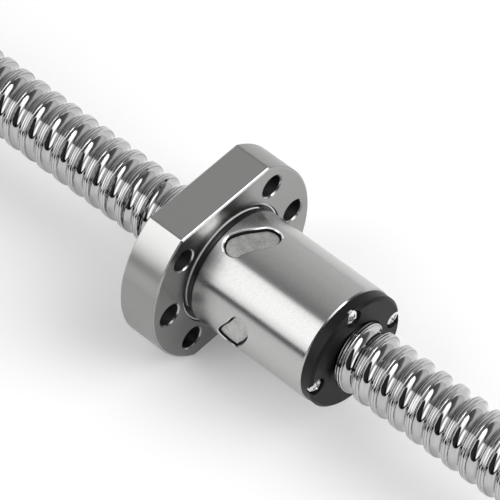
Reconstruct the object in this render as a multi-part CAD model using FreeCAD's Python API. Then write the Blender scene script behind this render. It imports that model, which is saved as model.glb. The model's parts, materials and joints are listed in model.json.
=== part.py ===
"""Ball screw assembly: a 16 x 5 mm rolled screw with machined ends and a flanged, single-nut
ball nut of four one-turn circuits.

Frame, in millimetres: the screw's axis is X, with +X towards the nut's nose. The origin is on that axis,
in the flange's seating face, which is the face that bolts against a housing. The flange's two flats face
+Z and -Z. Angles about the axis run from +Y towards +Z, so the right-hand thread advances along +X as its
angle grows.
"""

import math
import os

import FreeCAD
import Part

V = FreeCAD.Vector
X_AXIS, Y_AXIS, Z_AXIS = V(1, 0, 0), V(0, 1, 0), V(0, 0, 1)
ORIGIN = V(0, 0, 0)

# ---- screw ----
LEAD = 5.0  # axial advance in one turn, right-handed
PITCH_RADIUS = 8.35  # ball centres in the thread
CREST_RADIUS = 7.95  # outside of the rolled thread
CREST_ROUND = 0.4  # rounding of the thread's edges
THREAD_TURNS = 48
THREAD_START = -107.3  # left end of the thread along X
THREAD_END = THREAD_START + THREAD_TURNS * LEAD
THREAD_CHAMFER = 1.7
BEARING_RADIUS = 6.0  # fixed bearing journal
FIXED_LENGTH = 36.0  # bearing journal together with its locknut thread
LOCKNUT_THREAD_PITCH = 1.0
LOCKNUT_THREAD_TURNS = 14
LOCKNUT_CREST_RADIUS = 5.95
LOCKNUT_DEPTH = 0.6
RELIEF_WIDTH = 1.2
RELIEF_RADIUS = 5.3
DRIVE_RADIUS = 5.0  # coupling journal
DRIVE_LENGTH = 14.0
FLOAT_RADIUS = 5.0  # floating bearing journal
FLOAT_LENGTH = 10.0
CIRCLIP_START = 8.0  # from the shoulder to the groove
CIRCLIP_WIDTH = 1.15
CIRCLIP_RADIUS = 4.8
JOURNAL_CHAMFER = 0.5
CENTRE_HOLE_RADIUS = 1.25
CENTRE_HOLE_DEPTH = 3.5
CENTRE_CONE_RADIUS = 2.6

# ---- balls and their grooves ----
BALL_RADIUS = 3.175 / 2
BALLS_PER_CIRCUIT = 16
GROOVE_RADIUS = 1.75  # each flank of the gothic arch
GROOVE_PLAY = 0.12  # between ball and flank
ARCH_OFFSET = (GROOVE_RADIUS - BALL_RADIUS - GROOVE_PLAY) / math.sqrt(2)
CIRCUITS = 4
FIRST_INSERT_X = 7.15  # centre of the first return insert
INSERT_STEP_X = 1.25 * LEAD
INSERT_STEP_DEG = 90.0
FIRST_INSERT_DEG = 90.0
CROSSOVER_DEG = 30.0  # half of the angle in which a ball is lifted across the thread
LIFT_RADIUS = CREST_RADIUS + BALL_RADIUS + 0.16  # ball centre while it crosses the crest
LIFT_SHARE = 0.36  # share of the crossover used to climb to that radius

# ---- nut ----
FLANGE_RADIUS = 24.0
FLANGE_HALF_WIDTH = 20.0  # axis to either flat
FLANGE_THICKNESS = 10.0
FLANGE_CHAMFER = 0.4
BODY_RADIUS = 14.0
BODY_END = 33.4
BODY_CHAMFER = 0.35
BODY_SEAM_DEG = 33.0  # turns the body's seam line away from the slots
NECK_RADIUS = 13.6  # grinding relief beside the flange
NECK_END = 1.7
FACE_RELIEF_RADIUS = 14.9
FACE_RELIEF_DEPTH = 0.45
BORE_RADIUS = 8.5
BOLT_CIRCLE_RADIUS = 19.0
BOLT_HOLE_RADIUS = 2.75
BOLT_HOLE_CHAMFER = 0.3
BOLT_ANGLES = [side + step for side in (0, 180) for step in (-45, 0, 45)]
PORT_X = -5.0  # lubrication port, in the flat that faces -Z
PORT_RADIUS = 2.5  # M6 x 1 core
PORT_DEPTH = 8.0
PORT_PASSAGE_RADIUS = 1.0

# ---- end covers, wiper rings and their screws ----
RING_SEAT_RADIUS = 10.25
RING_SEAT_DEPTH = 2.0
RING_OUTER_RADIUS = 10.0
RING_INNER_RADIUS = 8.15
RING_THICKNESS = 1.6
COVER_RADIUS = 13.75
FRONT_COVER_THICKNESS = 3.0
FRONT_COVER_CHAMFER = 0.6
FRONT_POCKET_FLOOR = 1.75  # cover thickness left under a screw head
REAR_COVER_THICKNESS = 1.9
REAR_COVER_CHAMFER = 0.3
REAR_POCKET_FLOOR = 0.7
COVER_PLAY = 0.2  # between the wiping lip and the thread
REAR_SEAT_RADIUS = 14.0
REAR_SEAT_DEPTH = 2.0
COVER_SCREW_CIRCLE = 11.75
COVER_SCREW_COUNT = 4
REAR_SCREW_OFFSET = 45.0  # keeps the rear screws clear of the lubrication port
POCKET_RADIUS = 2.1
HEAD_RADIUS = 1.9
HEAD_EDGE = 0.55
HEAD_HEIGHT = 1.05
SHANK_RADIUS = 1.25
SHANK_REACH = 2.5  # into the nut
RECESS_DEPTH = 0.75
RECESS_ARM = 1.25
RECESS_WIDTH = 0.42
SHANK_PLAY = 0.03
SCREW_HOLE_DEPTH = 2.7  # short, so that the front holes stay clear of the last return insert

# ---- return inserts ----
SLOT_HALF_WIDTH = 2.8
SLOT_HALF_LENGTH = 3.4  # centre of the slot to the centre of its round end, along the S
SLOT_MID_SLOPE_DEG = 37.0  # from the tangential direction
SLOT_END_SLOPE_DEG = 24.0
INSERT_PLAY = 0.15
INSERT_SINK = 0.75  # below the nut's outside
SLOT_CHAMFER = 0.2
CHANNEL_RADIUS = 1.75

SAMPLES_PER_TURN = 18
ARCH_SAMPLES = 6  # offsets sampled along each flank of a groove
EDGE_SAMPLES = 4
LAND_SAMPLES = 8
TURN_MARGIN = 1.5  # turns by which a thread surface runs past one pitch, each way
SEW_TOLERANCE = 1e-4


def revolve(points):
    """Solid of revolution about X from a closed outline of (x, r) corners."""
    corners = [V(x, 0, r) for x, r in points]
    face = Part.Face(Part.makePolygon(corners + corners[:1]))
    return face.revolve(ORIGIN, X_AXIS, 360)


def tube(radius, x0, x1, inner=0.0):
    """Cylinder or ring along X."""
    solid = Part.makeCylinder(radius, x1 - x0, V(x0, 0, 0), X_AXIS)
    if inner:
        solid = solid.cut(Part.makeCylinder(inner, x1 - x0, V(x0, 0, 0), X_AXIS))
    return solid


def turned(shape, degrees, shift=0.0):
    """Copy of a shape turned about the screw's axis and moved along it."""
    copy = shape.copy()
    copy.rotate(ORIGIN, X_AXIS, degrees)
    copy.translate(V(shift, 0, 0))
    return copy


# ---------------------------------------------------------------- threads


def screw_groove(crest, rounding, play=0.0):
    """Outline of one thread pitch outside the screw's material, as runs of (offset, radius).

    The groove is a gothic arch: two arcs whose centres lie ARCH_OFFSET past the groove's middle. play moves
    the whole outline outwards, which makes the mating wiping lip.
    """
    radius = GROOVE_RADIUS - play
    centre_r = PITCH_RADIUS + ARCH_OFFSET
    top = crest + play
    fillet = rounding + play
    fillet_r = top - fillet
    fillet_x = math.sqrt((radius + fillet) ** 2 - (centre_r - fillet_r) ** 2) - ARCH_OFFSET
    joint_x = (fillet_x + ARCH_OFFSET) * radius / (radius + fillet) - ARCH_OFFSET

    def arch(x):
        return centre_r - math.sqrt(radius**2 - (abs(x) + ARCH_OFFSET) ** 2)

    def edge(x):
        return fillet_r + math.sqrt(max(0.0, fillet**2 - (fillet_x - abs(x)) ** 2))

    def land(x):
        return top

    return [
        (-fillet_x, -joint_x, EDGE_SAMPLES, edge),
        (-joint_x, 0.0, ARCH_SAMPLES, arch),
        (0.0, joint_x, ARCH_SAMPLES, arch),
        (joint_x, fillet_x, EDGE_SAMPLES, edge),
        (fillet_x, LEAD - fillet_x, LAND_SAMPLES, land),
    ]


def nut_groove():
    """Outline of one pitch of the nut's bore, as runs of (offset, radius)."""
    centre_r = PITCH_RADIUS - ARCH_OFFSET
    edge_x = math.sqrt(GROOVE_RADIUS**2 - (BORE_RADIUS - centre_r) ** 2) - ARCH_OFFSET

    def arch(x):
        return centre_r + math.sqrt(GROOVE_RADIUS**2 - (abs(x) + ARCH_OFFSET) ** 2)

    def land(x):
        return BORE_RADIUS

    return [
        (-edge_x, 0.0, ARCH_SAMPLES, arch),
        (0.0, edge_x, ARCH_SAMPLES, arch),
        (edge_x, LEAD - edge_x, LAND_SAMPLES, land),
    ]


def locknut_groove():
    """Outline of one pitch of the fine locknut thread: a flat root, two flanks and a flat crest."""
    pitch = LOCKNUT_THREAD_PITCH
    root = LOCKNUT_CREST_RADIUS - LOCKNUT_DEPTH
    flat, flank = pitch / 8, pitch * 3 / 8
    crest_start = flat / 2 + flank

    def flank_up(x):
        return root + LOCKNUT_DEPTH * (abs(x) - flat / 2) / flank

    return [
        (-flat / 2, flat / 2, EDGE_SAMPLES, lambda x: root),
        (flat / 2, crest_start, 2 * EDGE_SAMPLES, flank_up),
        (crest_start, pitch - crest_start, EDGE_SAMPLES, lambda x: LOCKNUT_CREST_RADIUS),
        (pitch - crest_start, pitch - flat / 2, 2 * EDGE_SAMPLES, lambda x: flank_up(pitch - x)),
    ]


def spline(points, parameters):
    """Cubic curve through points at stated parameters."""
    curve = Part.BSplineCurve()
    curve.interpolate(Points=points, Parameters=parameters)
    return curve


def thread_strip(low, high, count, radius_at, pitch, place):
    """Face of one run of the outline, one pitch long, between two planes across the axis.

    Its surface is the product of a profile curve and a helix, so one parameter is the offset along the axis
    and the other counts turns. place gives a point's x and angle, at offset and turn zero.
    """
    x0, start = place
    offsets = [low + (high - low) * i / (count - 1) for i in range(count)]
    margin = int(TURN_MARGIN * SAMPLES_PER_TURN)
    turns = [k / SAMPLES_PER_TURN for k in range(-margin, SAMPLES_PER_TURN + margin + 1)]
    angles = [start + 2 * math.pi * t for t in turns]
    profile = spline([V(o, radius_at(o), 0) for o in offsets], offsets)
    helix = spline([V(t, math.cos(a), math.sin(a)) for t, a in zip(turns, angles)], turns)
    poles = [
        [V(x0 + p.x + pitch * h.x, p.y * h.y, p.y * h.z) for h in helix.getPoles()]
        for p in profile.getPoles()
    ]
    surface = Part.BSplineSurface()
    surface.buildFromPolesMultsKnots(
        poles,
        profile.getMultiplicities(),
        helix.getMultiplicities(),
        profile.getKnots(),
        helix.getKnots(),
        False,
        False,
        profile.Degree,
        helix.Degree,
    )
    near = [(low, -low / pitch), (high, -high / pitch)]
    far = [(high, 1 - high / pitch), (low, 1 - low / pitch)]
    corners = [FreeCAD.Base.Vector2d(*corner) for corner in near + far]
    edges = [
        Part.Geom2d.Line2dSegment(here, there).toShape(surface)
        for here, there in zip(corners, corners[1:] + corners[:1])
    ]
    return Part.Face(surface, Part.Wire(edges)), edges[0]


def threaded_rod(outline, pitch, x0, turns, groove_x):
    """Closed solid of a whole number of turns of a right-hand thread, from one turn's faces repeated.

    groove_x is where the groove's middle crosses the half plane at angle 0.
    """
    place = x0, 2 * math.pi * (x0 - groove_x) / pitch
    strips = [thread_strip(*run, pitch, place) for run in outline]
    faces = []
    for turn in range(turns):
        for strip, _ in strips:
            face = strip.copy()
            face.translate(V(pitch * turn, 0, 0))
            faces.append(face)
    near = Part.Face(Part.Wire(Part.sortEdges([section for _, section in strips])[0]))
    far = near.copy()
    far.translate(V(pitch * turns, 0, 0))
    shell = Part.makeShell(faces + [near, far])
    shell.sewShape(SEW_TOLERANCE)
    solid = Part.Solid(shell.Shells[0])
    if solid.Volume < 0:
        solid.reverse()
    return solid


def groove_phase():
    """X at which the groove's middle crosses angle 0, set by the first return insert."""
    return FIRST_INSERT_X - LEAD / 2 - LEAD * FIRST_INSERT_DEG / 360


# ---------------------------------------------------------------- screw


def centre_hole(x, inwards):
    """60 degree centre hole in a shaft end."""
    drill = Part.makeCylinder(
        CENTRE_HOLE_RADIUS, CENTRE_HOLE_DEPTH, V(x, 0, 0), X_AXIS * inwards
    )
    cone_depth = (CENTRE_CONE_RADIUS - CENTRE_HOLE_RADIUS) / math.tan(math.radians(30))
    cone = Part.makeCone(
        CENTRE_CONE_RADIUS, CENTRE_HOLE_RADIUS, cone_depth, V(x, 0, 0), X_AXIS * inwards
    )
    return drill.fuse(cone)


def screw_shaft():
    """Threaded shaft with a fixed bearing seat, locknut thread and drive journal at -X, and a floating
    bearing seat with a circlip groove at +X."""
    rod = threaded_rod(
        screw_groove(CREST_RADIUS, CREST_ROUND), LEAD, THREAD_START, THREAD_TURNS, groove_phase()
    )
    over = CREST_RADIUS + 1.0
    depth = THREAD_CHAMFER
    for end, inwards in ((THREAD_START, 1), (THREAD_END, -1)):
        rod = rod.cut(
            revolve(
                [
                    (end - inwards, CREST_RADIUS - depth),
                    (end, CREST_RADIUS - depth),
                    (end + inwards * (depth + 1.0), over),
                    (end - inwards, over),
                ]
            )
        )
    shoulder = THREAD_START
    thread_x0 = shoulder - FIXED_LENGTH
    thread_x1 = thread_x0 + LOCKNUT_THREAD_PITCH * LOCKNUT_THREAD_TURNS
    drive_x0 = thread_x0 - DRIVE_LENGTH
    fixed = revolve(
        [
            (drive_x0, 0),
            (drive_x0, DRIVE_RADIUS - JOURNAL_CHAMFER),
            (drive_x0 + JOURNAL_CHAMFER, DRIVE_RADIUS),
            (thread_x0, DRIVE_RADIUS),
            (thread_x0, 0),
        ]
    )
    seat = revolve(
        [
            (thread_x1, 0),
            (thread_x1, RELIEF_RADIUS),
            (thread_x1 + RELIEF_WIDTH, RELIEF_RADIUS),
            (thread_x1 + RELIEF_WIDTH, BEARING_RADIUS - JOURNAL_CHAMFER / 2),
            (thread_x1 + RELIEF_WIDTH + JOURNAL_CHAMFER / 2, BEARING_RADIUS),
            (shoulder, BEARING_RADIUS),
            (shoulder, 0),
        ]
    )
    locknut_thread = threaded_rod(
        locknut_groove(), LOCKNUT_THREAD_PITCH, thread_x0, LOCKNUT_THREAD_TURNS, thread_x0
    )
    bevel = LOCKNUT_DEPTH
    locknut_thread = locknut_thread.cut(
        revolve(
            [
                (thread_x0 - 1, LOCKNUT_CREST_RADIUS - bevel - 1),
                (thread_x0 + bevel + 1, LOCKNUT_CREST_RADIUS + 1),
                (thread_x0 - 1, LOCKNUT_CREST_RADIUS + 1),
            ]
        )
    )
    groove_x = THREAD_END + CIRCLIP_START
    end_x = THREAD_END + FLOAT_LENGTH
    floating = revolve(
        [
            (THREAD_END, 0),
            (THREAD_END, FLOAT_RADIUS),
            (groove_x, FLOAT_RADIUS),
            (groove_x, CIRCLIP_RADIUS),
            (groove_x + CIRCLIP_WIDTH, CIRCLIP_RADIUS),
            (groove_x + CIRCLIP_WIDTH, FLOAT_RADIUS),
            (end_x - JOURNAL_CHAMFER, FLOAT_RADIUS),
            (end_x, FLOAT_RADIUS - JOURNAL_CHAMFER),
            (end_x, 0),
        ]
    )
    shaft = rod.fuse([seat, locknut_thread, fixed, floating])
    return shaft.cut(centre_hole(drive_x0, 1)).cut(centre_hole(end_x, -1))


# ---------------------------------------------------------------- ball circuits


def smooth(t):
    """Smooth step from 0 to 1."""
    t = min(1.0, max(0.0, t))
    return t * t * (3 - 2 * t)


def ball_centre(local_deg):
    """Ball centre on the first circuit, at an angle from -CROSSOVER_DEG to 360 - CROSSOVER_DEG counted
    from the middle of the return insert."""
    radius, x = PITCH_RADIUS, FIRST_INSERT_X - LEAD / 2 + LEAD * local_deg / 360
    if local_deg < CROSSOVER_DEG:
        share = (local_deg + CROSSOVER_DEG) / (2 * CROSSOVER_DEG)
        x += LEAD * (1 - smooth(share))
        radius += (LIFT_RADIUS - PITCH_RADIUS) * smooth(min(share, 1 - share) / LIFT_SHARE)
    angle = math.radians(FIRST_INSERT_DEG + local_deg)
    return V(x, radius * math.cos(angle), radius * math.sin(angle))


def circuit_centres():
    """Ball centres spaced evenly along the whole closed path of the first circuit."""
    steps = 1440
    path = [ball_centre(-CROSSOVER_DEG + 360 * i / steps) for i in range(steps)]
    path.append(path[0])
    lengths = [0.0]
    for a, b in zip(path, path[1:]):
        lengths.append(lengths[-1] + a.distanceToPoint(b))
    gap = lengths[-1] / BALLS_PER_CIRCUIT
    centres = []
    for k in range(BALLS_PER_CIRCUIT):
        wanted = gap * (k + 0.5)
        index = next(i for i, length in enumerate(lengths) if length >= wanted)
        centres.append(path[index])
    return centres


def circuit_place(k):
    """Turn and shift that carry the first circuit to circuit k."""
    return INSERT_STEP_DEG * k, INSERT_STEP_X * k


def ball_circuit(k):
    """The loose balls of one circuit, in the thread and in its return channel."""
    balls = [Part.makeSphere(BALL_RADIUS, centre) for centre in circuit_centres()]
    return turned(Part.makeCompound(balls), *circuit_place(k))


# ---------------------------------------------------------------- return inserts


def s_outline(half_width):
    """Closed outline of the S-shaped slot, in a plane across Z, with its middle at the origin.

    The centre line is two equal arcs that bend opposite ways; it runs mostly along Y and leans towards +X.
    """
    bend = math.radians(SLOT_MID_SLOPE_DEG - SLOT_END_SLOPE_DEG)
    radius = SLOT_HALF_LENGTH / bend
    mid = math.radians(SLOT_MID_SLOPE_DEG)

    def direction(angle):
        return V(math.sin(angle), math.cos(angle), 0)

    def sideways(angle):
        return V(math.cos(angle), -math.sin(angle), 0)

    def along(share, offset):
        """Point on the upper half (share from 0 to 1), moved sideways by offset."""
        angle = mid - bend * share
        centre = sideways(mid) * -radius
        return centre + sideways(angle) * (radius + offset)

    def lower(point):
        return V(-point.x, -point.y, 0)

    tip = along(1, 0) + direction(mid - bend) * half_width
    upper = [
        (along(0, half_width), along(0.5, half_width), along(1, half_width)),
        (along(1, half_width), tip, along(1, -half_width)),
        (along(1, -half_width), along(0.5, -half_width), along(0, -half_width)),
    ]
    edges = []
    for corners in upper:
        edges.append(Part.Arc(*corners).toShape())
        edges.append(Part.Arc(*[lower(corner) for corner in corners]).toShape())
    return Part.Wire(Part.sortEdges(edges)[0])


def slot_prism(half_width, low, high):
    """S-shaped prism along Z at the first insert's place."""
    face = Part.Face(s_outline(half_width))
    prism = face.extrude(Z_AXIS * (high - low))
    prism.translate(V(FIRST_INSERT_X, 0, low))
    return prism


def return_channel():
    """Round channel that follows the ball path across the first insert."""
    reach = CROSSOVER_DEG + 24
    count = 19
    points = []
    for i in range(count):
        local = -reach + 2 * reach * i / (count - 1)
        points.append(ball_centre(local + 360 if local < -CROSSOVER_DEG else local))
    curve = Part.BSplineCurve()
    curve.interpolate(points)
    spine = Part.Wire(curve.toShape())
    start = curve.value(curve.FirstParameter)
    heading = curve.tangent(curve.FirstParameter)[0]
    circle = Part.Wire(Part.Circle(start, heading, CHANNEL_RADIUS).toShape())
    return spine.makePipeShell([circle], True, True)


def return_insert(k):
    """Cast insert that lifts the balls over the thread's crest and back by one lead."""
    body = slot_prism(SLOT_HALF_WIDTH - INSERT_PLAY, 0, BODY_RADIUS + 1)
    shell = tube(BODY_RADIUS - INSERT_SINK, -5, 20, BORE_RADIUS)
    body = body.common(shell).cut(return_channel())
    return turned(body, *circuit_place(k))


# ---------------------------------------------------------------- nut


def cover_screw_angles(offset=0.0):
    """Angles of one cover's screws."""
    return [offset + 360 / COVER_SCREW_COUNT * i for i in range(COVER_SCREW_COUNT)]


def polar(radius, degrees, x=0.0):
    angle = math.radians(degrees)
    return V(x, radius * math.cos(angle), radius * math.sin(angle))


def flange():
    """Round flange with two flats, edges broken, bolt holes and the lubrication port."""
    disc = revolve(
        [
            (-FLANGE_THICKNESS, 0),
            (-FLANGE_THICKNESS, FLANGE_RADIUS - FLANGE_CHAMFER),
            (-FLANGE_THICKNESS + FLANGE_CHAMFER, FLANGE_RADIUS),
            (-FLANGE_CHAMFER, FLANGE_RADIUS),
            (0, FLANGE_RADIUS - FLANGE_CHAMFER),
            (0, 0),
        ]
    )
    width, height = 2 * FLANGE_RADIUS + 2, 2 * FLANGE_HALF_WIDTH
    c = FLANGE_CHAMFER
    side = [
        V(-FLANGE_THICKNESS, -width / 2, -height / 2 + c),
        V(-FLANGE_THICKNESS + c, -width / 2, -height / 2),
        V(-c, -width / 2, -height / 2),
        V(0, -width / 2, -height / 2 + c),
        V(0, -width / 2, height / 2 - c),
        V(-c, -width / 2, height / 2),
        V(-FLANGE_THICKNESS + c, -width / 2, height / 2),
        V(-FLANGE_THICKNESS, -width / 2, height / 2 - c),
    ]
    bar = Part.Face(Part.makePolygon(side + side[:1])).extrude(Y_AXIS * width)
    return disc.common(bar)


def bolt_hole(angle):
    """Clearance hole with both mouths chamfered."""
    b = BOLT_HOLE_CHAMFER
    hole = revolve(
        [
            (-FLANGE_THICKNESS - 1, 0),
            (-FLANGE_THICKNESS - 1, BOLT_HOLE_RADIUS + b + 1),
            (-FLANGE_THICKNESS + b, BOLT_HOLE_RADIUS),
            (-b, BOLT_HOLE_RADIUS),
            (1, BOLT_HOLE_RADIUS + b + 1),
            (1, 0),
        ]
    )
    hole.translate(polar(BOLT_CIRCLE_RADIUS, angle))
    return hole


def lubrication_port():
    """Threaded port in the lower flat, with a small passage to the bore."""
    top = -FLANGE_HALF_WIDTH + PORT_DEPTH
    core = Part.makeCylinder(PORT_RADIUS, PORT_DEPTH + 1, V(PORT_X, 0, top), -Z_AXIS)
    mouth = Part.makeCone(
        PORT_RADIUS, PORT_RADIUS + 1.5, 1.5, V(PORT_X, 0, -FLANGE_HALF_WIDTH + 0.5), -Z_AXIS
    )
    tip = Part.makeCone(PORT_RADIUS, 0.4, 1.2, V(PORT_X, 0, top), Z_AXIS)
    passage_x = PORT_X + 1.4
    passage = Part.makeCylinder(
        PORT_PASSAGE_RADIUS, FLANGE_HALF_WIDTH, V(passage_x, 0, 0), -Z_AXIS
    ).common(Part.makeBox(20, 20, top + 1 + FLANGE_HALF_WIDTH, V(-15, -10, top - 1)))
    return core.fuse([mouth, tip]), passage


def slotted(nut):
    """The nut with a slot for each return insert, its mouth chamfered."""
    for k in range(CIRCUITS):
        nut = nut.cut(turned(slot_prism(SLOT_HALF_WIDTH, 0, BODY_RADIUS + 1), *circuit_place(k)))

    def on_barrel(point):
        return abs(math.hypot(point.y, point.z) - BODY_RADIUS) < 1e-3

    mouths = []
    for edge in nut.Edges:
        first, last = edge.ParameterRange
        points = [edge.valueAt(first + (last - first) * share) for share in (0.1, 0.5, 0.9)]
        if all(on_barrel(point) for point in points) and points[0].x != points[2].x:
            if NECK_END + 0.1 < points[1].x < BODY_END - BODY_CHAMFER - 0.1:
                mouths.append(edge)
    return nut.makeChamfer(SLOT_CHAMFER, mouths)


def nut_body():
    """One-piece steel nut: flange, ground body, grooved bore and its seats."""
    barrel = revolve(
        [
            (-1, 0),
            (-1, NECK_RADIUS),
            (NECK_END - 0.35, NECK_RADIUS),
            (NECK_END, BODY_RADIUS),
            (BODY_END - BODY_CHAMFER, BODY_RADIUS),
            (BODY_END, BODY_RADIUS - BODY_CHAMFER),
            (BODY_END, 0),
        ]
    )
    relief = tube(FACE_RELIEF_RADIUS, -FACE_RELIEF_DEPTH, 1, NECK_RADIUS)
    nut = slotted(flange().cut(relief).fuse(turned(barrel, BODY_SEAM_DEG)))
    core_turns = 9
    core_x0 = -FLANGE_THICKNESS + REAR_SEAT_DEPTH
    nut = nut.cut(threaded_rod(nut_groove(), LEAD, core_x0, core_turns, groove_phase()))
    rear_ring_seat = -FLANGE_THICKNESS + REAR_SEAT_DEPTH + RING_SEAT_DEPTH
    cutters = [
        tube(REAR_SEAT_RADIUS, -FLANGE_THICKNESS - 1, -FLANGE_THICKNESS + REAR_SEAT_DEPTH),
        tube(RING_SEAT_RADIUS, -FLANGE_THICKNESS - 1, rear_ring_seat),
        tube(RING_SEAT_RADIUS, BODY_END - RING_SEAT_DEPTH, BODY_END + 1),
    ]
    cutters += [bolt_hole(angle) for angle in BOLT_ANGLES]
    hole_radius = SHANK_RADIUS + SHANK_PLAY
    for angle in cover_screw_angles():
        spot = polar(COVER_SCREW_CIRCLE, angle, BODY_END)
        cutters.append(Part.makeCylinder(hole_radius, SCREW_HOLE_DEPTH, spot, -X_AXIS))
    for angle in cover_screw_angles(REAR_SCREW_OFFSET):
        spot = polar(COVER_SCREW_CIRCLE, angle, -FLANGE_THICKNESS + REAR_SEAT_DEPTH)
        cutters.append(Part.makeCylinder(hole_radius, SCREW_HOLE_DEPTH, spot, X_AXIS))
    for cutter in cutters:
        nut = nut.cut(cutter)
    for cutter in lubrication_port():
        nut = nut.cut(cutter)
    return nut


# ---------------------------------------------------------------- end covers


def cover(thickness, chamfer, pocket_floor):
    """Black end cover, its back at x = 0 and its face at its thickness, before the lip is cut."""
    body = revolve(
        [
            (0, 0),
            (0, COVER_RADIUS),
            (thickness - chamfer, COVER_RADIUS),
            (thickness, COVER_RADIUS - chamfer),
            (thickness, 0),
        ]
    )
    for angle in cover_screw_angles():
        pocket = Part.makeCylinder(POCKET_RADIUS, thickness, polar(COVER_SCREW_CIRCLE, angle, pocket_floor), X_AXIS)
        hole = Part.makeCylinder(SHANK_RADIUS + 0.1, thickness, polar(COVER_SCREW_CIRCLE, angle), X_AXIS)
        body = body.cut(pocket).cut(hole)
    return body


def lip_core():
    """Two turns of the thread grown by COVER_PLAY: what a cover's wiping lip must stay clear of."""
    outline = screw_groove(CREST_RADIUS, CREST_ROUND, COVER_PLAY)
    return threaded_rod(outline, LEAD, -LEAD, 2, groove_phase())


def front_cover():
    """Thick cover on the nut's nose."""
    body = cover(FRONT_COVER_THICKNESS, FRONT_COVER_CHAMFER, FRONT_POCKET_FLOOR)
    body.translate(V(BODY_END, 0, 0))
    core = lip_core()
    core.translate(V(LEAD * round(BODY_END / LEAD), 0, 0))
    return body.cut(core)


def rear_cover():
    """Cover sunk flush in the flange's rear face."""
    body = cover(REAR_COVER_THICKNESS, REAR_COVER_CHAMFER, REAR_POCKET_FLOOR)
    body.rotate(ORIGIN, Z_AXIS, 180)
    body.rotate(ORIGIN, X_AXIS, REAR_SCREW_OFFSET)
    body.translate(V(-FLANGE_THICKNESS + REAR_SEAT_DEPTH, 0, 0))
    core = lip_core()
    core.translate(V(-LEAD * 2, 0, 0))
    return body.cut(core)


def wiper_ring(x0):
    """Round wiper ring that lies loose in its seat behind a cover."""
    return tube(RING_OUTER_RADIUS, x0, x0 + RING_THICKNESS, RING_INNER_RADIUS)


def cover_screw(shank_length):
    """Cross-recessed pan head screw along X, with the underside of its head at x = 0."""
    edge = [V(0, 0, 0), V(0, 0, HEAD_RADIUS), V(HEAD_EDGE, 0, HEAD_RADIUS)]
    dome = Part.Arc(
        V(HEAD_EDGE, 0, HEAD_RADIUS),
        V(HEAD_HEIGHT - 0.14, 0, HEAD_RADIUS * 0.62),
        V(HEAD_HEIGHT, 0, 0),
    ).toShape()
    outline = Part.Wire(
        [Part.makeLine(a, b) for a, b in zip(edge, edge[1:])]
        + [dome, Part.makeLine(V(HEAD_HEIGHT, 0, 0), V(0, 0, 0))]
    )
    head = Part.Face(outline).revolve(ORIGIN, X_AXIS, 360)
    floor = HEAD_HEIGHT - RECESS_DEPTH
    reach = RECESS_DEPTH + 1
    half = RECESS_WIDTH / 2
    arm_y = Part.makeBox(reach, 2 * RECESS_ARM, RECESS_WIDTH, V(floor, -RECESS_ARM, -half))
    arm_z = Part.makeBox(reach, RECESS_WIDTH, 2 * RECESS_ARM, V(floor, -half, -RECESS_ARM))
    cross = arm_y.fuse(arm_z)
    taper = Part.makeCone(RECESS_ARM * 0.4, RECESS_ARM * 1.4, RECESS_DEPTH + 0.5, V(floor, 0, 0), X_AXIS)
    shank = revolve(
        [
            (0.1, 0),
            (0.1, SHANK_RADIUS),
            (-shank_length + 0.4, SHANK_RADIUS),
            (-shank_length, SHANK_RADIUS - 0.4),
            (-shank_length, 0),
        ]
    )
    return head.cut(cross.common(taper)).fuse(shank)


def placed_screws():
    """Every cover screw by name, at its place."""
    found = {}
    for number, angle in enumerate(cover_screw_angles(), 1):
        twist = 31 * number
        front = cover_screw(FRONT_POCKET_FLOOR + SHANK_REACH)
        front.rotate(ORIGIN, X_AXIS, twist)
        front.translate(polar(COVER_SCREW_CIRCLE, angle, BODY_END + FRONT_POCKET_FLOOR))
        rear = cover_screw(REAR_POCKET_FLOOR + SHANK_REACH)
        rear.rotate(ORIGIN, Z_AXIS, 180)
        rear.rotate(ORIGIN, X_AXIS, twist)
        rear_x = -FLANGE_THICKNESS + REAR_SEAT_DEPTH - REAR_POCKET_FLOOR
        rear.translate(polar(COVER_SCREW_CIRCLE, angle + REAR_SCREW_OFFSET, rear_x))
        found[f"front_cover_screw_{number}"] = front
        found[f"rear_cover_screw_{number}"] = rear
    return found


def build():
    """Every piece by node name."""
    parts = {
        "screw_shaft": screw_shaft(),
        "nut_body": nut_body(),
        "front_cover": front_cover(),
        "rear_cover": rear_cover(),
        "front_wiper_ring": wiper_ring(BODY_END - RING_SEAT_DEPTH + 0.2),
        "rear_wiper_ring": wiper_ring(-FLANGE_THICKNESS + REAR_SEAT_DEPTH + 0.2),
    }
    for k in range(CIRCUITS):
        parts[f"return_insert_{k + 1}"] = return_insert(k)
        parts[f"ball_circuit_{k + 1}"] = ball_circuit(k)
    parts.update(placed_screws())
    return parts


os.makedirs("parts", exist_ok=True)
for node, shape in build().items():
    problems = [] if shape.isValid() and all(s.isClosed() for s in shape.Solids) else ["NOT VALID"]
    print(node, len(shape.Solids), "solids", round(shape.Volume, 1), "mm3", *problems)
    shape.exportStep(os.path.join("parts", node + ".step"))
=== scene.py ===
"""Looks of a ball screw assembly: a rolled screw with a flanged nut, in a plain pale studio.

Units are metres, in the row frame: the screw's axis is X, the flange's seating face is at x = 0 and the
flange's flats face +Z and -Z. Angles about the axis run from +Y towards +Z.
"""

import json
import math

import bmesh
import bpy
from mathutils import Matrix, Vector


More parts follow.
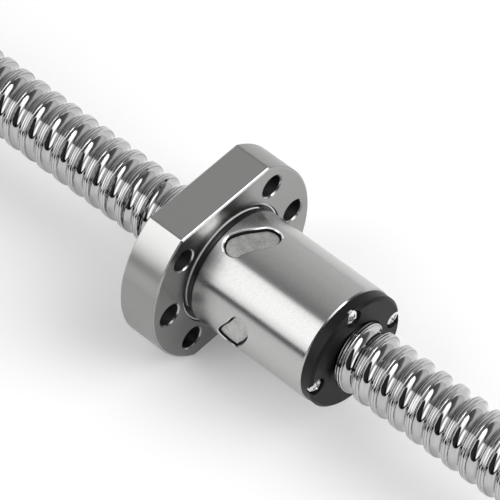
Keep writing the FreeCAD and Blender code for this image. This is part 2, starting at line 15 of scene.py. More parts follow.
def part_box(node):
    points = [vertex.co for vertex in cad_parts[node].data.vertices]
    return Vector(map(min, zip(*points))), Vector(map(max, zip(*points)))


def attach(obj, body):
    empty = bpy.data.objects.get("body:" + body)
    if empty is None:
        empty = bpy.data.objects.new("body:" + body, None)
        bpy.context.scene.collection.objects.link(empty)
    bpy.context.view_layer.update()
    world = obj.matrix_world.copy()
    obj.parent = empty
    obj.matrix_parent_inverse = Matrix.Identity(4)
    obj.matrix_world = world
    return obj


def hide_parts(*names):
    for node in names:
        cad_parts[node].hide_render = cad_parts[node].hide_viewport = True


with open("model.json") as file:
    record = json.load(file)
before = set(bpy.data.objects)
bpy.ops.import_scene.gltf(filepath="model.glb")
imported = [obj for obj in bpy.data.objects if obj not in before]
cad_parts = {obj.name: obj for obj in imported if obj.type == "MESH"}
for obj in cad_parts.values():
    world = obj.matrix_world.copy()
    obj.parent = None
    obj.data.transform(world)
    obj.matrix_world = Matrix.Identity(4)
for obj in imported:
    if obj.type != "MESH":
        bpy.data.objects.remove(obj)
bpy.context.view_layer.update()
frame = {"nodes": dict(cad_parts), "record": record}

MM = 0.001
FAR = 1.0  # further out than any point of the object
EDGE = 0.01 * MM  # keeps a region of a material clear of the surface beside it

# ---- the screw's thread ----
LEAD = 5.0 * MM
PITCH_RADIUS = 8.35 * MM
BALL_RADIUS = 3.175 / 2 * MM
GROOVE_RADIUS = 1.75 * MM
GROOVE_PLAY = 0.12 * MM
ARCH_OFFSET = (GROOVE_RADIUS - BALL_RADIUS - GROOVE_PLAY) / math.sqrt(2)
CREST_RADIUS = 7.95 * MM
CREST_ROUND = 0.4 * MM
THREAD_START = -107.3 * MM
THREAD_END = 132.7 * MM
THREAD_CHAMFER = 1.7 * MM
GROOVE_AT_ZERO = 3.4 * MM  # x at which the groove's middle crosses angle 0
STEPS_PER_TURN = 96
GROOVE_STEPS = 12  # from a groove's middle to its edge
ROUND_STEPS = 6  # around the rounded edge of a crest
CREST_STEPS = 3  # from there to a crest's middle
RIBS_PER_TURN = 7
SCREW_CREASE_DEG = 32  # sharper edges of the screw stay creases
NODE_CREASE_DEG = 25  # and so do those of every other node

# ---- the screw's ends ----
SEAT_RADIUS = 6.0 * MM
JOURNAL_RADIUS = 5.0 * MM
SEAT_START = -128.1 * MM
RELIEF_START = -129.3 * MM
RELIEF_RADIUS = 5.3 * MM
LOCKNUT_START = -143.3 * MM
LOCKNUT_PITCH = 1.0 * MM
LOCKNUT_CREST = 5.95 * MM
LOCKNUT_ROOT = 5.35 * MM
CIRCLIP_OFFSET = 8.0 * MM
CIRCLIP_WIDTH = 1.15 * MM
CIRCLIP_RADIUS = 4.8 * MM
END_CHAMFER = 0.5 * MM
CENTRE_CONE_RADIUS = 2.6 * MM
CENTRE_CONE_SLOPE = math.radians(30)
CENTRE_HOLE_RADIUS = 1.25 * MM
CENTRE_HOLE_DEPTH = 3.5 * MM

# ---- the nut, for its material's regions ----
FACE_DEPTH = 0.05 * MM  # half thickness of the region that holds the seating face
FLAT_Z = 20.0 * MM
FLAT_EDGE = (0.18 * MM, 0.4 * MM)  # below the flat: painted shade on a band of its chamfered edge, which narrows the edge's highlight
BOLT_CIRCLE = 19.0 * MM
BOLT_STEP = math.radians(45)
BOLT_HOLE_RADIUS = 2.75 * MM
BOLT_HOLE_CHAMFER = 0.3 * MM
BOLT_HOLE_MARGIN = 0.15 * MM
RIM_RADIUS = 23.7 * MM
BARREL_RADIUS = 14.0 * MM
ROOT_START = 0.1 * MM
ROOT_LENGTH = 5.0 * MM  # over which the barrel's finish turns from dull to fine
SLOT_CHAMFER = 0.2 * MM
SLOT_MOUTHS_X = (2.0 * MM, 32.0 * MM)
SLOT_WALLS_X = (1.0 * MM, 32.0 * MM)
SLOT_FLOOR_RADIUS = 10.5 * MM
FIRST_INSERT_X = 7.15 * MM
INSERT_STEP_X = 6.25 * MM
INSERT_HALF_WIDTH = 2.65 * MM
INSERT_HALF_LENGTH = 3.4 * MM  # from an insert's middle to the middle of its round end
INSERT_SLOPE = math.radians(37)  # of the S-shaped insert's middle, from the tangential direction
INSERT_BEND_RADIUS = 15.0 * MM
# painted shade along the insert's edge, for the shadow in its gap
INSERT_EDGE_SHADE = 0.3 * MM
HIGHLIGHT_LINE_REACH = (0.3 * MM, 0.65 * MM)  # painted highlight: the bright line around the first insert's slot, from the slot's edge
HIGHLIGHT_LINE_SIDE = 0.6 * MM  # how far the bright line comes round to the insert's front
HIGHLIGHT_LINE_DEPTH = 0.1 * MM
HIGHLIGHT_LINE_MIN_Z = 8.0 * MM
HIGHLIGHT_LINE_MAX_X = 14.0 * MM
LIT_SIDE = math.radians(118)  # the side of the barrel that faces the key light
# the grinding relief around the barrel's root
RELIEF_X = (-0.6 * MM, -0.02 * MM)
NECK_X = (-0.6 * MM, 1.36 * MM)
NECK_RADII = (13.4 * MM, 13.65 * MM)
# painted highlight on the relief's floor ring and on the neck's side that faces the key light
HIGHLIGHT_NECK_X = (-0.6 * MM, -0.05 * MM)
RELIEF_FLOOR_RADII = (14.4 * MM, 14.75 * MM)
# its painted shade, dark places in the relief and on the neck: (x range, radius range, grey)
PAINTED_RELIEF_SHADE = [
    (RELIEF_X, (14.75 * MM, 15.0 * MM), 0.04),
    (RELIEF_X, (13.65 * MM, 14.4 * MM), 0.05),
    (NECK_X, NECK_RADII, 0.1),
]
# painted reflections: how the turned flange face lightens and darkens around the axis: (share of a turn from
# -Y, grey)
PAINTED_FACE_REFLECTIONS = [
    (0.0, 0.27),
    (0.08, 0.22),
    (0.17, 0.22),
    (0.26, 0.36),
    (0.32, 0.3),
    (0.42, 0.36),
    (0.5, 0.31),
    (0.68, 0.33),
    (0.73, 0.2),
    (0.765, 0.22),
    (0.785, 0.95),
    (0.805, 0.95),
    (0.83, 0.34),
    (0.9, 0.3),
    (1.0, 0.27),
]

# ---- camera ----
CAMERA_TARGET = Vector((1.4, 4.3, 1.5)) * MM
CAMERA_DISTANCE = 940.4 * MM
CAMERA_AZIMUTH = math.radians(47.663)
CAMERA_ELEVATION = math.radians(51.747)
CAMERA_ROLL = math.radians(-4.823)
CAMERA_LENS = 316.07

# ---- studio ----
FLOOR_Z = -20.0 * MM
FLOOR_SIZE = 6.0
BRIGHT_SIDE = (0.67, 0.74)  # the floor's brighter side, away from its painted shade, as a direction in x and y
FLOOR_FADE = 100.0 * MM  # past this far to either side of the origin the floor's tone stays the same
# grey of the floor, painted shade included, against the distance towards its brighter side
FLOOR_TONES = [
    (-80.0 * MM, 0.75),
    (60.0 * MM, 0.79),
]
ROOM_STRENGTH = 2.4
# degrees by which the room's tones turn over the screw, per unit of direction along it past LEAN_START
ROOM_LEAN = 80.0
LEAN_START = -0.15
# brightness of the room against the angle over the screw, from the back (0) over the top (90)
# to the front (180)
ROOM_TONES = [
    (0, 0.35),
    (15, 0.38),
    (30, 0.355),
    (55, 0.34),
    (62, 0.33),
    (78, 0.285),
    (86, 0.24),
    (94, 0.185),
    (107, 0.13),
    (110, 0.72),
    (118, 0.93),
    (124, 1.0),
    (152, 1.0),
    (160, 0.85),
    (169, 0.7),
    (170, 0.01),
    (180, 0.015),
]
# angle at which the bright front of the room begins
FRONT_START = 100.0
# brightness of the room's back against the direction along the screw, from -X (-1) to +X (1)
BACK_TONES = [
    (-1.0, 0.3),
    (-0.85, 0.5),
    (-0.65, 0.8),
    (-0.5, 0.97),
    (1.0, 1.0),
]
# brightness of the room's front against the same direction
FRONT_TONES = [
    (-1.0, 0.35),
    (-0.65, 0.5),
    (-0.58, 1.0),
    (-0.2, 1.0),
    (-0.05, 0.3),
    (0.25, 0.2),
    (0.38, 1.0),
    (0.85, 1.0),
    (1.0, 0.3),
]
# the dark gap between the room's back and its front: how dark it is against the angle over the screw
GAP_DEPTH = [
    (0, 0.0),
    (48, 0.0),
    (64, 0.76),
    (103, 0.76),
    (107, 0.0),
    (180, 0.0),
]
# and how much of it there is against the direction along the screw
GAP_REACH = [
    (-1.0, 0.0),
    (-0.37, 0.0),
    (-0.22, 1.0),
    (1.0, 1.0),
]


# ---------------------------------------------------------------- node trees


def as_colour(value):
    """RGBA of a grey level or of an RGB triple."""
    if isinstance(value, (int, float)):
        return (value, value, value, 1)
    return (*value, 1)


class Graph:
    """Short-hand for adding nodes to a node tree."""

    def __init__(self, tree):
        self.tree = tree

    def add(self, kind, **settings):
        node = self.tree.nodes.new("ShaderNode" + kind)
        for key, value in settings.items():
            setattr(node, key, value)
        return node

    def link(self, source, target):
        self.tree.links.new(source, target)

    def fill(self, sockets, values):
        """Sets each socket to a fixed value or links it to an output."""
        for socket, value in zip(sockets, values):
            if isinstance(value, (int, float, tuple)):
                socket.default_value = value
            else:
                self.link(value, socket)

    def math(self, operation, *values):
        node = self.add("Math", operation=operation)
        self.fill(node.inputs, values)
        return node.outputs[0]

    def plus(self, a, b):
        return self.math("ADD", a, b)

    def minus(self, a, b):
        return self.math("SUBTRACT", a, b)

    def times(self, a, b):
        return self.math("MULTIPLY", a, b)

    def ratio(self, a, b):
        return self.math("DIVIDE", a, b)

    def above(self, a, b):
        """1 where a is more than b, and 0 elsewhere."""
        return self.math("GREATER_THAN", a, b)

    def below(self, a, b):
        """1 where a is less than b, and 0 elsewhere."""
        return self.math("LESS_THAN", a, b)

    def split(self, vector):
        """The x, y and z of a vector."""
        node = self.add("SeparateXYZ")
        self.link(vector, node.inputs[0])
        return node.outputs

    def joined(self, x, y, z):
        node = self.add("CombineXYZ")
        self.fill(node.inputs, (x, y, z))
        return node.outputs[0]

    def noise(self, vector, scale, detail=3.0, roughness=0.55):
        node = self.add("TexNoise")
        node.inputs["Scale"].default_value = scale
        node.inputs["Detail"].default_value = detail
        node.inputs["Roughness"].default_value = roughness
        self.link(vector, node.inputs["Vector"])
        return node.outputs[0]

    def ramp(self, factor, stops):
        """Grey level or colour looked up from a factor of 0 to 1."""
        node = self.add("ValToRGB")
        elements = node.color_ramp.elements
        while len(elements) < len(stops):
            elements.new(0.5)
        for element, (place, value) in zip(elements, stops):
            element.position = place
            element.color = as_colour(value)
        self.link(factor, node.inputs[0])
        return node.outputs[0]

    def remap(self, value, source, target=(0, 1)):
        """Maps one range onto another, and stays inside it."""
        node = self.add("MapRange")
        node.inputs["From Min"].default_value, node.inputs["From Max"].default_value = source
        node.inputs["To Min"].default_value, node.inputs["To Max"].default_value = target
        self.link(value, node.inputs["Value"])
        return node.outputs[0]

    def spread(self, factor, low, high):
        """Maps 0..1 to low..high."""
        return self.remap(factor, (0, 1), (low, high))

    def lookup(self, value, low, high, stops):
        """Grey level looked up from a value between low and high."""
        shares = [((place - low) / (high - low), tone) for place, tone in stops]
        return self.ramp(self.remap(value, (low, high)), shares)

    def both(self, a, b):
        """1 where two masks are both 1."""
        return self.times(a, b)

    def within(self, value, low, high):
        """1 where the value lies between low and high, and 0 elsewhere."""
        return self.both(self.above(value, low), self.below(value, high))

    def mix(self, factor, a, b):
        """Blends two colours, each a socket or a fixed colour."""
        node = self.add("Mix", data_type="RGBA")
        self.fill((node.inputs[0], node.inputs[6], node.inputs[7]), (factor, a, b))
        return node.outputs[2]  # a Mix node's colours are inputs 6 and 7 and output 2


class Surface(Graph):
    """A material with one principled shader, whose inputs are named by keyword."""

    def __init__(self, name, **sockets):
        self.material = bpy.data.materials.new(name)
        self.material.use_nodes = True
        super().__init__(self.material.node_tree)
        self.shader = self.tree.nodes["Principled BSDF"]
        for socket, value in sockets.items():
            self.shader.inputs[socket.replace("_", " ")].default_value = value

    def give(self, socket, source):
        self.link(source, self.shader.inputs[socket])

    def position(self):
        """Object coordinates in metres, whole and split in x, y and z."""
        where = self.add("TexCoord").outputs["Object"]
        return where, self.split(where)

    def bump(self, height, strength, distance):
        node = self.add("Bump")
        node.inputs["Strength"].default_value = strength
        node.inputs["Distance"].default_value = distance
        self.link(height, node.inputs["Height"])
        self.give("Normal", node.outputs[0])

    def angle(self, parts):
        """Angle about the screw's axis, in radians."""
        return self.math("ARCTAN2", parts[2], parts[1])

    def length(self, a, b):
        """Length of the plane vector (a, b)."""
        return self.math("SQRT", self.plus(self.times(a, a), self.times(b, b)))

    def radius(self, parts):
        """Distance from the screw's axis."""
        return self.length(parts[1], parts[2])


# ---------------------------------------------------------------- materials


def polished_thread():
    """Rolled and polished steel: mirror bright, with fine ribs that run along the thread's crests."""
    look = Surface("polished_thread", Metallic=1.0)
    where, parts = look.position()
    angle = look.angle(parts)
    along = look.minus(parts[0], look.times(angle, LEAD / (2 * math.pi)))
    uneven = look.noise(look.joined(look.times(along, 1500.0), look.times(angle, 0.5), 0.0), 1.0, 2.0)
    wave = look.math("SINE", look.times(along, RIBS_PER_TURN * 2 * math.pi / LEAD))
    marks = look.plus(look.times(wave, 0.3), uneven)
    smooth = look.ramp(uneven, [(0.25, 0.42), (0.75, 0.53)])
    ribs = look.ramp(marks, [(0.3, 0.3), (0.5, 0.53)])
    crest = look.above(look.radius(parts), CREST_RADIUS - CREST_ROUND)
    look.give("Base Color", look.mix(crest, smooth, ribs))
    look.give("Roughness", look.spread(look.noise(where, 260.0, 2.0), 0.04, 0.1))
    look.bump(look.times(marks, look.spread(crest, 0.05, 1.0)), 1.0, 0.00012)
    return look.material


def ground_steel():
    """Ground hardened steel: fine rings on round faces, plain milled flats, painted shade in the drilled
    holes and slots, and painted highlights and reflections on the flange.
    """
    look = Surface("ground_steel", Anisotropic=0.8, Anisotropic_Rotation=0.25)
    where, parts = look.position()
    radius = look.radius(parts)
    ring_place = look.joined(look.times(parts[0], 7000.0), look.times(radius, 7000.0), 0.0)
    rings = look.noise(ring_place, 1.0)
    grain = look.noise(where, 3800.0)
    tone = look.plus(look.times(rings, 0.4), look.times(grain, 0.6))
    toward = toward_light(look, parts, radius)
    rim = look.within(radius, RIM_RADIUS, FAR)
    ring = painted_highlight_ring(look, parts, radius, toward)
    # painted shade: the walls of the bolt holes and the insert slots turn near black, rougher and less
    # metallic
    holes = look.math("MAXIMUM", hole_mask(look, parts), slot_walls(look, parts, radius))
    colour = ground_colour(look, parts, radius, tone, toward, rim)
    # painted highlight on the relief's floor ring and the neck's lit side, made less metallic so that it
    # catches the lamp
    colour = look.mix(ring, colour, (0.85, 0.85, 0.84, 1))
    look.give("Base Color", look.mix(holes, colour, (0.025, 0.025, 0.025, 1)))
    look.give("Metallic", look.spread(look.math("MAXIMUM", holes, ring), 1.0, 0.3))
    dull = look.plus(look.times(rim, 0.13), look.times(root_mask(look, parts), 0.12))
    rougher = look.plus(dull, look.times(holes, 0.2))
    look.give("Roughness", look.plus(look.spread(grain, 0.2, 0.27), rougher))
    look.give("Tangent", look.add("Tangent", direction_type="RADIAL", axis="X").outputs[0])
    look.bump(tone, 0.3, 0.00002)
    return look.material


def ground_colour(look, parts, radius, tone, toward, rim):
    """Base colour of the ground faces and flats, with painted reflections on the flange face, a painted
    highlight on the rim, painted shade in the relief, and painted highlights and shade on narrow edges.
    """
    colour = look.ramp(tone, [(0.3, (0.38, 0.38, 0.376)), (0.7, (0.51, 0.51, 0.505))])
    # painted highlight: the rim turns lighter on the side that faces the key light
    rim_painted_highlight = look.ramp(toward, [(0.75, (0.3, 0.3, 0.296)), (1.0, (0.6, 0.6, 0.592))])
    colour = look.mix(rim, colour, rim_painted_highlight)
    # painted reflections on the seating face
    colour = look.mix(look.within(parts[0], -FACE_DEPTH, FACE_DEPTH), colour, painted_face_reflections(look, parts))
    flats = look.within(look.math("ABSOLUTE", parts[2]), FLAT_Z - 2 * EDGE, FAR)
    colour = look.mix(flats, colour, (0.335, 0.335, 0.33, 1))
    # painted shade in the relief, and painted highlights and shade on narrow edges
    places = [(ring_mask(look, parts, radius, *ranges), grey) for *ranges, grey in PAINTED_RELIEF_SHADE]
    for place, grey in places + edge_masks(look, parts, radius):
        colour = look.mix(place, colour, as_colour(grey))
    return colour


def ring_mask(look, parts, radius, x_range, radii):
    """1 between two planes across the axis and two cylinders about it, and 0 elsewhere."""
    return look.both(look.within(parts[0], *x_range), look.within(radius, *radii))


def painted_face_reflections(look, parts):
    """Painted reflections: the light and dark fans that a faced surface shows around its axis."""
    share = look.plus(look.ratio(look.angle(parts), 2 * math.pi), 0.5)
    return look.ramp(share, [(place, (grey, grey, grey * 0.985)) for place, grey in PAINTED_FACE_REFLECTIONS])


def edge_masks(look, parts, radius):
    """Masks of narrow edges with their greys: painted shade on the flat's chamfer, painted highlights at the
    slot mouths and behind the first insert.
    """
    near, deep = FLAT_EDGE
    below_flat = look.within(look.math("ABSOLUTE", parts[2]), FLAT_Z - deep, FLAT_Z - near)
    flat_edge_shade = look.both(look.within(parts[0], -deep, -EDGE), below_flat)
    mouths = (BARREL_RADIUS - SLOT_CHAMFER + EDGE, BARREL_RADIUS - 2 * EDGE)
    slot_edge_highlight = ring_mask(look, parts, radius, SLOT_MOUTHS_X, mouths)
    return [(flat_edge_shade, 0.16), (slot_edge_highlight, 0.85), (painted_highlight_line(look, parts, radius), 0.95)]


def painted_highlight_line(look, parts, radius):
    """1 on the painted highlight line behind and above the first insert's slot, and 0 elsewhere."""
    distance, front = insert_distance(look, parts)
    strip = look.within(distance, *(INSERT_HALF_WIDTH + reach for reach in HIGHLIGHT_LINE_REACH))
    behind = look.both(look.below(front, HIGHLIGHT_LINE_SIDE), look.above(parts[2], HIGHLIGHT_LINE_MIN_Z))
    on_barrel = look.within(radius, BARREL_RADIUS - HIGHLIGHT_LINE_DEPTH, BARREL_RADIUS + HIGHLIGHT_LINE_DEPTH)
    first = look.below(parts[0], HIGHLIGHT_LINE_MAX_X)
    return look.both(look.both(strip, behind), look.both(on_barrel, first))


def toward_light(look, parts, radius):
    """1 where a point's side of the axis faces the key light, falling to 0 a quarter turn away."""
    across = look.times(parts[1], math.cos(LIT_SIDE))
    return look.ratio(look.plus(across, look.times(parts[2], math.sin(LIT_SIDE))), radius)


def painted_highlight_ring(look, parts, radius, toward):
    """1 on the painted highlight ring at the bottom of the face relief, and on the neck where it faces the
    key light; 0 elsewhere.
    """
    floor = ring_mask(look, parts, radius, RELIEF_X, RELIEF_FLOOR_RADII)
    neck = ring_mask(look, parts, radius, HIGHLIGHT_NECK_X, NECK_RADII)
    return look.math("MAXIMUM", floor, look.both(neck, look.above(toward, 0.3)))


def slot_walls(look, parts, radius):
    """1 on the walls of the insert slots below their chamfered mouths, and at the neck's end; else 0."""
    radii = (SLOT_FLOOR_RADIUS, BARREL_RADIUS - SLOT_CHAMFER - EDGE)
    return ring_mask(look, parts, radius, SLOT_WALLS_X, radii)


def root_mask(look, parts):
    """1 in front of the seating face, falling to 0 at the end of the barrel's root."""
    past = look.above(parts[0], ROOT_START)
    return look.both(past, look.remap(parts[0], (0, ROOT_LENGTH), (1, 0)))


def hole_mask(look, parts):
    """1 on the walls of the flange's bolt holes and 0 elsewhere."""
    aside = look.math("ABSOLUTE", parts[1])
    angle = look.math("ARCTAN2", parts[2], aside)
    step = look.times(look.math("ROUND", look.ratio(angle, BOLT_STEP)), BOLT_STEP)
    off_y = look.minus(aside, look.times(look.math("COSINE", step), BOLT_CIRCLE))
    off_z = look.minus(parts[2], look.times(look.math("SINE", step), BOLT_CIRCLE))
    inside = look.below(look.length(off_y, off_z), BOLT_HOLE_RADIUS + BOLT_HOLE_MARGIN)
    near = look.below(look.math("ABSOLUTE", step), 1.5 * BOLT_STEP)
    past_mouth = look.below(parts[0], -BOLT_HOLE_CHAMFER - EDGE)
    return look.both(look.both(inside, near), past_mouth)


def insert_distance(look, parts):
    """Distance from the centre line of the S-shaped return insert on the point's side of the nut, and how
    much of it is to the insert's front, negative behind.

    The four inserts are a quarter turn and INSERT_STEP_X apart, the first at the top.
    """
    quarter = look.math("ROUND", look.minus(look.ratio(look.angle(parts), math.pi / 2), 1.0))
    quarter = look.math("FLOORED_MODULO", quarter, 4.0)
    turn = look.times(quarter, math.pi / 2)
    cosine, sine = look.math("COSINE", turn), look.math("SINE", turn)
    y = look.plus(look.times(parts[1], cosine), look.times(parts[2], sine))
    x = look.minus(parts[0], look.plus(look.times(quarter, INSERT_STEP_X), FIRST_INSERT_X))
    tilt_x, tilt_y = math.sin(INSERT_SLOPE), math.cos(INSERT_SLOPE)
    along = look.plus(look.times(x, tilt_x), look.times(y, tilt_y))
    across = look.minus(look.times(x, tilt_y), look.times(y, tilt_x))
    held = look.math("MINIMUM", look.math("MAXIMUM", along, -INSERT_HALF_LENGTH), INSERT_HALF_LENGTH)
    bow = look.ratio(look.times(held, look.math("ABSOLUTE", held)), -2 * INSERT_BEND_RADIUS)
    off = look.minus(across, bow)
    return look.length(look.minus(along, held), off), off


def sintered_insert():
    """Matt sintered steel with a fine cast grain and painted shade along its edge, where it drops into its
    slot.
    """
    look = Surface("sintered_insert", Metallic=0.85)
    where, parts = look.position()
    grain = look.noise(where, 2600.0, 4.0, 0.7)
    stain = look.noise(where, 500.0, 2.0)
    tone = look.plus(look.times(grain, 0.6), look.times(stain, 0.4))
    colour = look.ramp(tone, [(0.35, (0.32, 0.32, 0.315)), (0.65, (0.66, 0.66, 0.65))])
    # painted shade along the insert's edge, for the shadow in the gap around it
    edge = look.above(insert_distance(look, parts)[0], INSERT_HALF_WIDTH - INSERT_EDGE_SHADE)
    look.give("Base Color", look.mix(edge, colour, (0.02, 0.02, 0.02, 1)))
    look.give("Roughness", look.spread(grain, 0.38, 0.62))
    look.bump(grain, 0.8, 0.00008)
    return look.material


def black_plastic():
    """Moulded black plastic with a slight sheen."""
    look = Surface("black_plastic", Specular_IOR_Level=0.2)
    where, _ = look.position()
    grain = look.noise(where, 5200.0)
    cloud = look.noise(where, 300.0, 2.0)
    look.give("Base Color", look.ramp(cloud, [(0.3, (0.004, 0.004, 0.0045)), (0.7, (0.008, 0.008, 0.0085))]))
    look.give("Roughness", look.spread(grain, 0.36, 0.5))
    look.bump(grain, 0.2, 0.00003)
    return look.material


def nickel_plate():
    """Bright nickel plating on small screws."""
    look = Surface("nickel_plate", Metallic=1.0)
    where, _ = look.position()
    wear = look.noise(where, 2600.0)
    look.give("Base Color", look.ramp(wear, [(0.3, (0.66, 0.66, 0.65)), (0.7, (0.86, 0.86, 0.85))]))
    look.give("Roughness", look.spread(wear, 0.1, 0.26))
    return look.material


def bearing_ball():
    """Polished bearing steel."""
    look = Surface("bearing_ball", Metallic=1.0)
    where, _ = look.position()
    film = look.noise(where, 900.0, 2.0)
    look.give("Base Color", look.ramp(film, [(0.3, (0.78, 0.78, 0.79)), (0.7, (0.86, 0.86, 0.87))]))
    look.give("Roughness", look.spread(film, 0.03, 0.08))
    return look.material


def pressed_felt():
    """Off-white wool felt."""
    look = Surface("pressed_felt", Roughness=0.95)
    where, _ = look.position()
    fibres = look.noise(where, 2400.0, 6.0, 0.7)
    look.give("Base Color", look.ramp(fibres, [(0.3, (0.52, 0.5, 0.45)), (0.7, (0.78, 0.76, 0.7))]))
    look.bump(fibres, 0.8, 0.0001)
    return look.material


def pale_floor():
    """Near-white studio surface with painted shade, a little darker on the side away from the light."""
    look = Surface("pale_floor", Roughness=0.6, Specular_IOR_Level=0.2, Emission_Strength=0.25)
    x, y, _ = look.split(look.add("NewGeometry").outputs["Position"])
    side = look.plus(look.times(x, BRIGHT_SIDE[0]), look.times(y, BRIGHT_SIDE[1]))
    tone = look.lookup(side, -FLOOR_FADE, FLOOR_FADE, FLOOR_TONES)
    look.give("Base Color", tone)
    look.give("Emission Color", tone)
    return look.material


# ---------------------------------------------------------------- mesh tools


def linked(name, data):
    """A new object in the scene."""
    thing = bpy.data.objects.new(name, data)
    bpy.context.scene.collection.objects.link(thing)
    return thing


def mesh_piece(name, bm, material):
    """A new object from a bmesh, which is used up."""
    mesh = bpy.data.meshes.new(name)
    bm.to_mesh(mesh)
    bm.free()
    mesh.materials.append(material)
    return linked(name, mesh)


def smooth_by_angle(piece, degrees):
    """Smooth shading with creases at edges sharper than the angle."""
    mesh = piece.data
    mesh.shade_smooth()
    mesh.set_sharp_from_angle(angle=math.radians(degrees))


def polar(x, radius, angle):
    return Vector((x, radius * math.cos(angle), radius * math.sin(angle)))


# ---------------------------------------------------------------- screw


def thread_outline():
    """(offset, radius) along one pitch, from a groove's middle to the next one's."""
    centre_r = PITCH_RADIUS + ARCH_OFFSET
    fillet_r = CREST_RADIUS - CREST_ROUND
    reach = GROOVE_RADIUS + CREST_ROUND
    fillet_x = math.sqrt(reach**2 - (centre_r - fillet_r) ** 2) - ARCH_OFFSET
    joint_x = (fillet_x + ARCH_OFFSET) * GROOVE_RADIUS / reach - ARCH_OFFSET
    half = []
    for i in range(GROOVE_STEPS + 1):
        offset = joint_x * i / GROOVE_STEPS
        half.append((offset, centre_r - math.sqrt(GROOVE_RADIUS**2 - (offset + ARCH_OFFSET) ** 2)))
    lean = math.asin((fillet_x - joint_x) / CREST_ROUND)
    for i in range(1, ROUND_STEPS + 1):
        angle = lean * (1 - i / ROUND_STEPS)
        half.append((fillet_x - CREST_ROUND * math.sin(angle), fillet_r + CREST_ROUND * math.cos(angle)))
    for i in range(1, CREST_STEPS + 1):
        half.append((fillet_x + (LEAD / 2 - fillet_x) * i / CREST_STEPS, CREST_RADIUS))
    return half + [(LEAD - x, r) for x, r in reversed(half[:-1])]


def chamfered(x, radius):
    """Point of the thread's surface, brought inside the thread's two ends and their chamfers."""
    x = min(max(x, THREAD_START), THREAD_END)
    low = CREST_RADIUS - THREAD_CHAMFER
    limit = low + min(x - THREAD_START, THREAD_END - x)
    return x, min(radius, limit)


def stitch(bm, columns):
    """Faces between columns of points along a helix, each column closed by the one a turn further on."""
    for k in range(len(columns) - 1 - STEPS_PER_TURN):
        closing = (columns[k + STEPS_PER_TURN][0], columns[k + 1 + STEPS_PER_TURN][0])
        rails = list(zip(columns[k], columns[k + 1])) + [closing]
        for (a, b), (c, d) in zip(rails, rails[1:]):
            bm.faces.new((a, c, d, b))


def add_thread(bm):
    """Sheet swept along the helix, one column of points for each step of angle."""
    outline = thread_outline()
    first = math.floor((THREAD_START - GROOVE_AT_ZERO - LEAD) / LEAD) * STEPS_PER_TURN
    last = (math.ceil((THREAD_END - GROOVE_AT_ZERO) / LEAD) + 1) * STEPS_PER_TURN
    columns = []
    for step in range(first, last + 1):
        turn = step / STEPS_PER_TURN
        column = []
        for offset, radius in outline[:-1]:
            x, r = chamfered(GROOVE_AT_ZERO + LEAD * turn + offset, radius)
            column.append(bm.verts.new(polar(x, r, 2 * math.pi * turn)))
        columns.append(column)
    stitch(bm, columns)


def add_locknut_thread(bm):
    """Fine helical thread between the relief and the drive journal."""
    flat, flank = LOCKNUT_PITCH / 8, LOCKNUT_PITCH * 3 / 8
    top = flat + flank
    outline = [(0, LOCKNUT_ROOT), (flat, LOCKNUT_ROOT), (top, LOCKNUT_CREST), (top + flat, LOCKNUT_CREST)]
    turns = round((RELIEF_START - LOCKNUT_START) / LOCKNUT_PITCH) + 1
    columns = []
    for step in range(-STEPS_PER_TURN, turns * STEPS_PER_TURN + 1):
        turn = step / STEPS_PER_TURN
        column = []
        for offset, radius in outline:
            x = min(max(LOCKNUT_START + LOCKNUT_PITCH * turn + offset, LOCKNUT_START), RELIEF_START)
            limit = min(LOCKNUT_ROOT + (x - LOCKNUT_START), RELIEF_RADIUS + (RELIEF_START - x))
            column.append(bm.verts.new(polar(x, min(radius, limit), 2 * math.pi * turn)))
        columns.append(column)
    stitch(bm, columns)


def add_lathe(bm, outline):
    """Surface of revolution about X through (x, r) points; a point on the axis closes it."""
    steps = STEPS_PER_TURN
    rings = []
    for x, r in outline:
        count = 1 if r == 0 else steps
        rings.append([bm.verts.new(polar(x, r, 2 * math.pi * i / steps)) for i in range(count)])
    for here, there in zip(rings, rings[1:]):
        for i in range(steps):
            j = (i + 1) % steps
            corners = [here[i % len(here)], here[j % len(here)], there[j % len(there)], there[i % len(there)]]
            bm.faces.new(list(dict.fromkeys(corners)))


def centre_hole(x, inwards):
    """Outline of a 60 degree centre hole, from its mouth to its bottom."""
    cone = (CENTRE_CONE_RADIUS - CENTRE_HOLE_RADIUS) / math.tan(CENTRE_CONE_SLOPE)
    return [
        (x, CENTRE_CONE_RADIUS),
        (x + inwards * cone, CENTRE_HOLE_RADIUS),
        (x + inwards * (cone + CENTRE_HOLE_DEPTH), CENTRE_HOLE_RADIUS),
        (x + inwards * (cone + CENTRE_HOLE_DEPTH), 0),
    ]


def bearing_seat():
    """Outline from the thread's left end to the locknut thread."""
    return [
        (THREAD_START, SEAT_RADIUS),
        (SEAT_START + END_CHAMFER / 2, SEAT_RADIUS),
        (SEAT_START, SEAT_RADIUS - END_CHAMFER / 2),
        (SEAT_START, RELIEF_RADIUS),
        (RELIEF_START, RELIEF_RADIUS),
    ]


def drive_journal(start):
    """Outline from the locknut thread to the left tip of the screw."""
    return [
        (LOCKNUT_START, LOCKNUT_ROOT),
        (LOCKNUT_START, JOURNAL_RADIUS),
        (start + END_CHAMFER, JOURNAL_RADIUS),
        (start, JOURNAL_RADIUS - END_CHAMFER),
    ] + centre_hole(start, 1)


def floating_end(end):
    """Outline from the thread's right end to the tip of the floating journal."""
    groove = THREAD_END + CIRCLIP_OFFSET
    return [
        (THREAD_END, SEAT_RADIUS),
        (THREAD_END, JOURNAL_RADIUS),
        (groove, JOURNAL_RADIUS),
        (groove, CIRCLIP_RADIUS),
        (groove + CIRCLIP_WIDTH, CIRCLIP_RADIUS),
        (groove + CIRCLIP_WIDTH, JOURNAL_RADIUS),
        (end - END_CHAMFER, JOURNAL_RADIUS),
        (end, JOURNAL_RADIUS - END_CHAMFER),
    ] + centre_hole(end, -1)


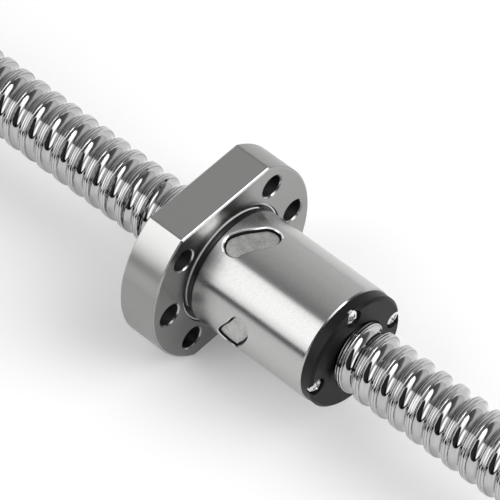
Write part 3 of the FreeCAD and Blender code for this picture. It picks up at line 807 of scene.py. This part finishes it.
def screw_shaft(material):
    """The whole screw as one piece, in place of the CAD node."""
    low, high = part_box("screw_shaft")
    bm = bmesh.new()
    add_thread(bm)
    add_lathe(bm, bearing_seat())
    add_lathe(bm, drive_journal(low.x))
    add_locknut_thread(bm)
    add_lathe(bm, floating_end(high.x))
    bmesh.ops.remove_doubles(bm, verts=bm.verts, dist=2e-6)
    bmesh.ops.dissolve_degenerate(bm, edges=bm.edges, dist=1e-7)
    bmesh.ops.recalc_face_normals(bm, faces=bm.faces)
    piece = mesh_piece("screw_shaft_polished", bm, material)
    smooth_by_angle(piece, SCREW_CREASE_DEG)
    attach(piece, "screw")
    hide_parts("screw_shaft")


# ---------------------------------------------------------------- studio


def floor():
    """Flat pale surface under the object."""
    bm = bmesh.new()
    bmesh.ops.create_grid(bm, x_segments=1, y_segments=1, size=FLOOR_SIZE / 2)
    piece = mesh_piece("studio_floor", bm, pale_floor())
    piece.location.z = FLOOR_Z


def soft_light(name, size, place, power):
    """Rectangular area light aimed at the object."""
    data = bpy.data.lights.new(name, "AREA")
    data.shape = "RECTANGLE"
    data.size, data.size_y = size
    data.energy = power
    light = linked(name, data)
    turn = (-Vector(place)).normalized().to_track_quat("-Z", "Y").to_matrix().to_4x4()
    light.matrix_world = Matrix.Translation(place) @ turn
    return light


def lights():
    """A wide light overhead and a small one that draws the edges."""
    overhead = soft_light("overhead_light", (1.0, 0.8), (0.8, 0.5, 1.0), 8)
    overhead.visible_glossy = False
    soft_light("edge_light", (0.35, 0.5), (1.18, 0.63, 0.69), 2)


def room():
    """Surroundings whose brightness depends on the direction, as a light tent's does."""
    world = bpy.data.worlds.new("studio")
    bpy.context.scene.world = world
    world.use_nodes = True
    air = Graph(world.node_tree)
    x, y, z = air.split(air.add("TexCoord").outputs["Generated"])
    degrees = air.math("DEGREES", air.math("ARCTAN2", z, y))
    turned = air.plus(degrees, air.remap(x, (LEAN_START, 1), (0, ROOM_LEAN * (1 - LEAN_START))))
    over = air.lookup(turned, 0, 180, ROOM_TONES)
    in_front = air.above(turned, FRONT_START)
    side = air.mix(in_front, air.lookup(x, -1, 1, BACK_TONES), air.lookup(x, -1, 1, FRONT_TONES))
    gap = air.times(air.lookup(turned, 0, 180, GAP_DEPTH), air.lookup(x, -1, 1, GAP_REACH))
    tone = air.times(air.times(over, side), air.minus(1.0, gap))
    background = world.node_tree.nodes["Background"]
    air.link(tone, background.inputs["Color"])
    background.inputs["Strength"].default_value = ROOM_STRENGTH


def camera():
    """Camera at the picture's viewing angle."""
    data = bpy.data.cameras.new("camera")
    data.lens = CAMERA_LENS
    data.sensor_width = 36
    data.clip_start = 0.05
    data.clip_end = 20
    eye = linked("camera", data)
    aside = math.cos(CAMERA_ELEVATION)
    look = Vector(
        (-math.sin(CAMERA_AZIMUTH) * aside, math.cos(CAMERA_AZIMUTH) * aside, -math.sin(CAMERA_ELEVATION))
    )
    turn = look.to_track_quat("-Z", "Y").to_matrix().to_4x4() @ Matrix.Rotation(CAMERA_ROLL, 4, "Z")
    eye.matrix_world = Matrix.Translation(CAMERA_TARGET - look * CAMERA_DISTANCE) @ turn
    bpy.context.scene.camera = eye


# ---------------------------------------------------------------- assembly


def dress_cad_nodes(materials):
    """Gives each CAD node the material of its slot."""
    for row in frame["record"]["subparts"]:
        node = frame["nodes"][row["node"]]
        node.data.materials.clear()
        node.data.materials.append(materials[row["material_slot"]])
        smooth_by_angle(node, NODE_CREASE_DEG)


MATERIALS = {
    "screw_steel": polished_thread(),
    "nut_steel": ground_steel(),
    "insert_steel": sintered_insert(),
    "cover_plastic": black_plastic(),
    "wiper_felt": pressed_felt(),
    "ball_steel": bearing_ball(),
    "screw_plated": nickel_plate(),
}

dress_cad_nodes(MATERIALS)
screw_shaft(MATERIALS["screw_steel"])
floor()
lights()
room()
camera()
bpy.context.scene.view_settings.view_transform = "Standard"
